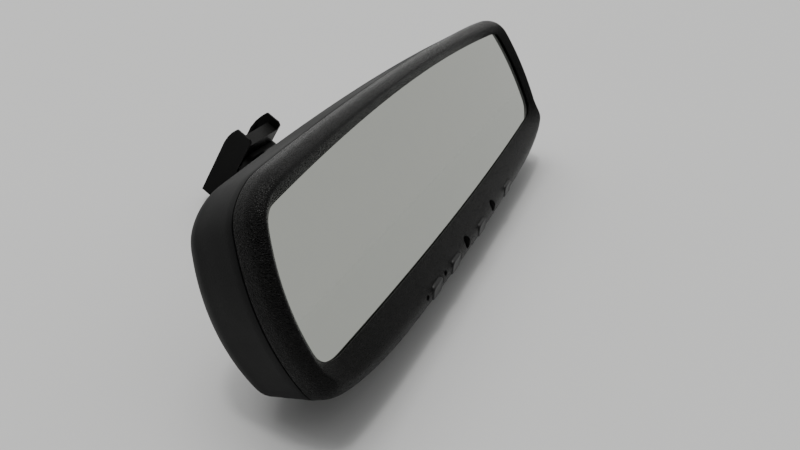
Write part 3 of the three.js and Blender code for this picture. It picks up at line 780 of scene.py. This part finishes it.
def makeButton(name):
    # a soft-edged cap with a shallow dish, ears that hold it in and a stem down to its switch
    spec = button
    sections = [(-spec["depth"], 0.0), (-spec["edge"], 0.0)]
    for k in range(1, 6):
        angle = math.pi / 2 * k / 5
        depth = spec["proud"] - spec["edge"] * (1 - math.sin(angle))
        sections.append((depth, spec["edge"] * (1 - math.cos(angle))))
    for k in range(1, 5):
        sections.append((spec["proud"] - spec["dish"] * (1 - (1 - k / 4) ** 2), spec["edge"] + 0.45 * k))
    rings = []
    for z, amount in sections:
        corner = max(spec["corner"] - amount, 0.25)
        shape = roundedRectangle(spec["width"] - 2 * amount, spec["height"] - 2 * amount, corner)
        rings.append(np.column_stack([shape, np.full(len(shape), z)]))
    place = chinPlace(name, spec["proud"])
    piece = loft("cap_" + name, rings, place=place)
    earShape = roundedRectangle(spec["earWidth"], spec["earHeight"], 0.8)
    ears = loft("ears", [np.column_stack([earShape, np.full(len(earShape), z)])
                         for z in (spec["earFrom"], spec["earTo"])], place=place)
    bar = np.array(circlePoints(spec["stem"], 20))
    sections = [(spec["stemEnd"], 0.7), (spec["stemEnd"] + 0.3, 1.0), (-spec["depth"] + 0.5, 1.0)]
    rings = [np.column_stack([bar * scale, np.full(len(bar), z)]) for z, scale in sections]
    stem = loft("stem", rings, place=place)
    merge(piece, ears, stem)
    smooth(piece, 50)
    dress(piece, finishes["button"])
    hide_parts(name)
    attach(piece, name)


for name in buttons:
    makeButton(name)


def makeLens(name, front, back, radius, dome):
    # a round lens with a domed face; front and back are depths, the dome is at the front
    middle = inMirror(name)
    way = math.copysign(1, front - back)
    sections = [(back, radius)]
    for k in range(8):
        angle = math.pi / 2 * k / 7
        depth = front - way * dome * (1 - math.sin(angle))
        sections.append((depth, radius * (0.12 + 0.88 * math.cos(angle))))
    piece = rodAt("dome_" + name, middle.x, middle.z, sections)
    smooth(piece, 60)
    dress(piece, finishes["lens"])
    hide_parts(name)
    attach(piece, "head")


lenses = {
    # depth of the front, depth of the back, radius, rise of the dome
    "status_led_lens": (-5.75, -0.3, 2.4, 0.25),
    "glare_sensor_lens": (-5.75, -0.3, 2.4, 0.25),
    "rear_sensor_lens": (38.0, 33.6, 2.6, 0.6),
}
for name, spec in lenses.items():
    makeLens(name, *spec)
print("buttons and lenses made")


# ---- mount: the arm and the windshield bracket

def cleanCopy(name, newName):
    # the CAD shape as a clean mesh: doubles merged, flat faces dissolved
    mesh = nodes[name].data.copy()
    mesh.name = newName
    mesh.materials.clear()
    shape = bmesh.new()
    shape.from_mesh(mesh)
    bmesh.ops.remove_doubles(shape, verts=shape.verts, dist=2e-6)
    bmesh.ops.dissolve_limit(
        shape, angle_limit=math.radians(1.2), verts=shape.verts, edges=shape.edges,
        use_dissolve_boundaries=False,
    )
    shape.to_mesh(mesh)
    shape.free()
    piece = bpy.data.objects.new(newName, mesh)
    bpy.context.scene.collection.objects.link(piece)
    return piece


def softened(piece, width, segments, angle):
    # a round bevel on every edge that turns by more than the angle
    bevel = piece.modifiers.new("edges", "BEVEL")
    bevel.width, bevel.segments, bevel.limit_method = width * mm, segments, "ANGLE"
    bevel.angle_limit = math.radians(angle)
    bevel.use_clamp_overlap = True
    bevel.miter_outer = "MITER_ARC"
    bpy.context.view_layer.update()
    settle(piece)


def cast(piece, voxel, passes):
    # a die casting's soft edges: remeshed, then relaxed
    remesh = piece.modifiers.new("skin", "REMESH")
    remesh.mode, remesh.voxel_size, remesh.adaptivity = "VOXEL", voxel * mm, 0
    relax = piece.modifiers.new("relax", "SMOOTH")
    relax.factor, relax.iterations = 0.5, passes
    bpy.context.view_layer.update()
    settle(piece)


armSkin = {"voxel": 0.45, "passes": 4}
castArm = cleanCopy("ball_arm", "cast_arm")
cast(castArm, **armSkin)
castArm.data.shade_smooth()
dress(castArm, finishes["mount_coating"])
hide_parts("ball_arm")
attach(castArm, "mount")

# The bracket's own frame: x across, y down its face and z out of it, in mm, from the face's middle.
bracket = {
    "half": 22.5, "width": 25.4, "thick": 12, "mountDown": 19.5, "mouth": 18, "floor": 20.4, "lip": 1.4,
    "depth": 6, "endWall": 6, "notch": 3.7, "holeAcross": 9.4, "holeRadius": 1.5, "holeDeep": 4.4,
    "funnel": (9, 11, 12.3, 24),  # half width and place at its start, then at its end
    "bevel": (0.4, 3, 32),  # width, segments and least angle
}
mount = frame["record"]["mounts"][0]
bracketOut = Vector(mount["axis"]).normalized()
bracketDown = bracketOut.cross(Vector((1, 0, 0)))
bracketMiddle = Vector(mount["pos_m"]) - bracketDown * bracket["mountDown"] * mm
bracketTurn = Matrix((Vector((1, 0, 0)), bracketDown, bracketOut)).transposed()
toBracket = Matrix.Translation(bracketMiddle) @ bracketTurn.to_4x4() @ Matrix.Scale(mm, 4)


def makeBracket():
    # a block with ramped rail tips and a T-shaped channel that is open at its upper end
    spec = bracket
    half, thick, wide = spec["half"], spec["thick"], spec["width"] / 2
    side = [
        (half, 0), (half, -thick), (1.3 - half, -thick), (-half, 1.4 - thick), (-half, -3.4),
        (0.9 - half, -2.7), (3.5 - half, -1.5), (7 - half, -0.5), (11 - half, 0),
    ]
    rings = [np.array([(x, y, z) for y, z in side]) for x in (-wide, wide)]
    block = loft("cast_bracket", rings, place=toBracket)
    floorHalf, mouthHalf, lip = spec["floor"] / 2, spec["mouth"] / 2, spec["lip"]
    slot = [
        (-floorHalf, -spec["depth"]), (floorHalf, -spec["depth"]), (floorHalf, -lip - 0.6), (mouthHalf, -lip),
        (mouthHalf, 2), (-mouthHalf, 2), (-mouthHalf, -lip), (-floorHalf, -lip - 0.6),
    ]
    cutters = [loft("cut_channel", [
        np.array([(x, y, z) for x, z in slot]) for y in (-half - 5, half - spec["endWall"])
    ], place=toBracket)]
    near, start, far, end = spec["funnel"]  # the way in for the windshield button, and the gap below it
    top = half - spec["notch"]
    middle = near + (far - near) * (top - start) / (end - start)
    flares = [("cut_funnel", near, start, spec["depth"]), ("cut_gap", middle, top, thick + 1)]
    for name, wideStart, down, deep in flares:
        flare = [(-wideStart, -down), (wideStart, -down), (far, -end), (-far, -end)]
        rings = [np.array([(x, y, z) for x, y in flare]) for z in (-deep, 2)]
        cutters.append(loft(name, rings, place=toBracket))
    for across in (-spec["holeAcross"], spec["holeAcross"]):
        circle = np.array(circlePoints(spec["holeRadius"], 24))
        cutters.append(loft("cut_hole", [
            np.column_stack([circle[:, 0] + across, circle[:, 1], np.full(len(circle), z)])
            for z in (-thick - 1, spec["holeDeep"] - thick)
        ], place=toBracket))
    carve(block, *cutters)
    return block


castBracket = makeBracket()
softened(castBracket, *bracket["bevel"])
smooth(castBracket, 40)
dress(castBracket, finishes["mount_coating"])
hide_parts("windshield_bracket")
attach(castBracket, "mount")
print("mount made:", len(castArm.data.polygons), len(castBracket.data.polygons))


# ---- screws, made by node trees

class Plan(Graph):
    # a Geometry Nodes tree with named inputs, run once and left as a plain mesh
    kinds = {float: "NodeSocketFloat", Vector: "NodeSocketVector"}

    def __init__(self, name, **values):
        self.tree = bpy.data.node_groups.new(name, "GeometryNodeTree")
        self.values = values
        sockets = self.tree.interface
        sockets.new_socket("Geometry", in_out="INPUT", socket_type="NodeSocketGeometry")
        self.named = {
            key: sockets.new_socket(key, in_out="INPUT", socket_type=self.kinds[type(value)])
            for key, value in values.items()
        }
        sockets.new_socket("Finish", in_out="INPUT", socket_type="NodeSocketMaterial")
        sockets.new_socket("Geometry", in_out="OUTPUT", socket_type="NodeSocketGeometry")
        self.start = self.tree.nodes.new("NodeGroupInput")

    def take(self, key):
        return Wire(self, self.start.outputs[key])

    def vector(self, x=0.0, y=0.0, z=0.0):
        return self.add("ShaderNodeCombineXYZ", None, {"X": x, "Y": y, "Z": z})

    def moved(self, shape, place=None, scale=None):
        inputs = {"Geometry": shape}
        if place is not None:
            inputs["Translation"] = place
        if scale is not None:
            inputs["Scale"] = scale
        return self.add("GeometryNodeTransform", None, inputs)

    def join(self, *shapes):
        return self.add("GeometryNodeJoinGeometry", None, {"Geometry": list(shapes)})

    def place(self, points, instances, turn):
        # the tree's result: instances at the points, made real and coloured
        placed = self.add("GeometryNodeInstanceOnPoints", None, {
            "Points": points, "Instance": instances, "Rotation": turn,
        })
        real = self.add("GeometryNodeRealizeInstances", None, {"Geometry": placed})
        inputs = {"Geometry": real, "Material": self.take("Finish")}
        coloured = self.add("GeometryNodeSetMaterial", None, inputs)
        end = self.tree.nodes.new("NodeGroupOutput")
        self.tree.links.new(coloured.socket, end.inputs["Geometry"])

    def run(self, name, base, finish):
        # a piece at the base points, made by the tree and left as a plain mesh
        mesh = bpy.data.meshes.new(name)
        mesh.from_pydata(base, [], [])
        piece = bpy.data.objects.new(name, mesh)
        bpy.context.scene.collection.objects.link(piece)
        modifier = piece.modifiers.new(self.tree.name, "NODES")
        modifier.node_group = self.tree
        for key, value in self.values.items():
            modifier[self.named[key].identifier] = value
        for item in self.tree.interface.items_tree:
            if item.in_out == "INPUT" and item.name == "Finish":
                modifier[item.identifier] = finish
        bpy.context.view_layer.update()
        settle(piece)
        return piece


screw = {
    "head": 1.5, "shank": 0.98, "pitch": 0.7, "thread": 0.24, "recess": 1.05, "deep": 0.8, "sides": 48,
}


def screwPoints(names, way):
    # where the screws' heads sit, how high a head stands and how long its shank is
    seats, reach = [], []
    across = way.orthogonal().normalized()
    third = way.cross(across)
    for name in names:
        corners = [vertex.co for vertex in nodes[name].data.vertices]
        along = [corner.dot(way) for corner in corners]
        top, tail = max(along), min(along)
        seat = way * (top - screw["head"] * mm)
        for side in (across, third):
            spread = [corner.dot(side) for corner in corners]
            seat = seat + side * (max(spread) + min(spread)) / 2
        seats.append(seat)
        reach.append(top - tail - screw["head"] * mm)
    return seats, reach[0]


def makeScrews(name, names, body, way, radius):
    seats, length = screwPoints(names, way)
    turn = Vector(way.to_track_quat("Z", "X").to_euler())
    plan = Plan(
        name + "_plan", HeadRadius=radius * mm, HeadHeight=screw["head"] * mm,
        ShankRadius=screw["shank"] * mm, ShankLength=length,
        Pitch=screw["pitch"] * mm, Thread=screw["thread"] * mm,
        RecessRadius=screw["recess"] * mm, RecessDepth=screw["deep"] * mm, Turn=turn,
    )
    headRadius, headHeight = plan.take("HeadRadius"), plan.take("HeadHeight")
    shankRadius, shankLength = plan.take("ShankRadius"), plan.take("ShankLength")
    flange = plan.add("GeometryNodeMeshCylinder", None, {
        "Vertices": screw["sides"], "Radius": headRadius, "Depth": headHeight * 0.4,
    })
    flange = plan.moved(flange, plan.vector(z=headHeight * 0.2))
    dome = plan.add("GeometryNodeMeshUVSphere", None, {
        "Segments": screw["sides"], "Rings": 24, "Radius": headRadius * 0.985,
    })
    flatten = plan.vector(1.0, 1.0, headHeight * 0.6 / headRadius)
    dome = plan.moved(dome, plan.vector(z=headHeight * 0.4), flatten)
    lobes = plan.add("GeometryNodeMeshCylinder", None, {
        "Vertices": 6, "Radius": plan.take("RecessRadius"), "Depth": plan.take("RecessDepth") * 2,
    })
    lobes = plan.moved(lobes, plan.vector(z=headHeight))
    head = plan.add("GeometryNodeMeshBoolean", {"operation": "DIFFERENCE"}, {
        "Mesh 1": plan.add("GeometryNodeMeshBoolean", {"operation": "UNION"}, {"Mesh 2": [flange, dome]}),
        "Mesh 2": lobes,
    })
    shank = plan.add("GeometryNodeMeshCylinder", None, {
        "Vertices": 24, "Radius": shankRadius, "Depth": shankLength,
    })
    shank = plan.moved(shank, plan.vector(z=shankLength * -0.5))
    helix = plan.add("GeometryNodeCurveSpiral", None, {
        "Resolution": 24, "Rotations": (shankLength - plan.take("Pitch")) / plan.take("Pitch"),
        "Start Radius": shankRadius, "End Radius": shankRadius, "Height": shankLength - plan.take("Pitch"),
    })
    ridge = plan.add("GeometryNodeCurvePrimitiveCircle", None, {
        "Resolution": 4, "Radius": plan.take("Thread"),
    })
    thread = plan.add("GeometryNodeCurveToMesh", None, {
        "Curve": helix, "Profile Curve": ridge, "Fill Caps": True,
    })
    thread = plan.moved(thread, plan.vector(z=plan.take("Pitch") * 0.5 - shankLength))
    whole = plan.join(head, shank, thread)
    plan.place(plan.take("Geometry"), whole, plan.take("Turn"))
    piece = plan.run(name, seats, finishes["steel"])
    smooth(piece, 35)
    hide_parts(*names)
    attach(piece, body)
    print(name, len(piece.data.polygons), "faces")


makeScrews("arm_screws", ["arm_screw_1", "arm_screw_2"], "mount", -bracketOut, 2.2)
makeScrews("pivot_screws", [f"pivot_screw_{i}" for i in range(1, 5)], "head", -acrossCase, 2.4)
makeScrews("board_screws", [f"board_screw_{i}" for i in range(1, 5)], "head", acrossCase, 2.4)


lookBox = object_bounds()
cadSize, lookSize = [[round((b - a) / mm, 1) for a, b in zip(*box)] for box in (cadBox, lookBox)]
print("size", cadSize, lookSize)
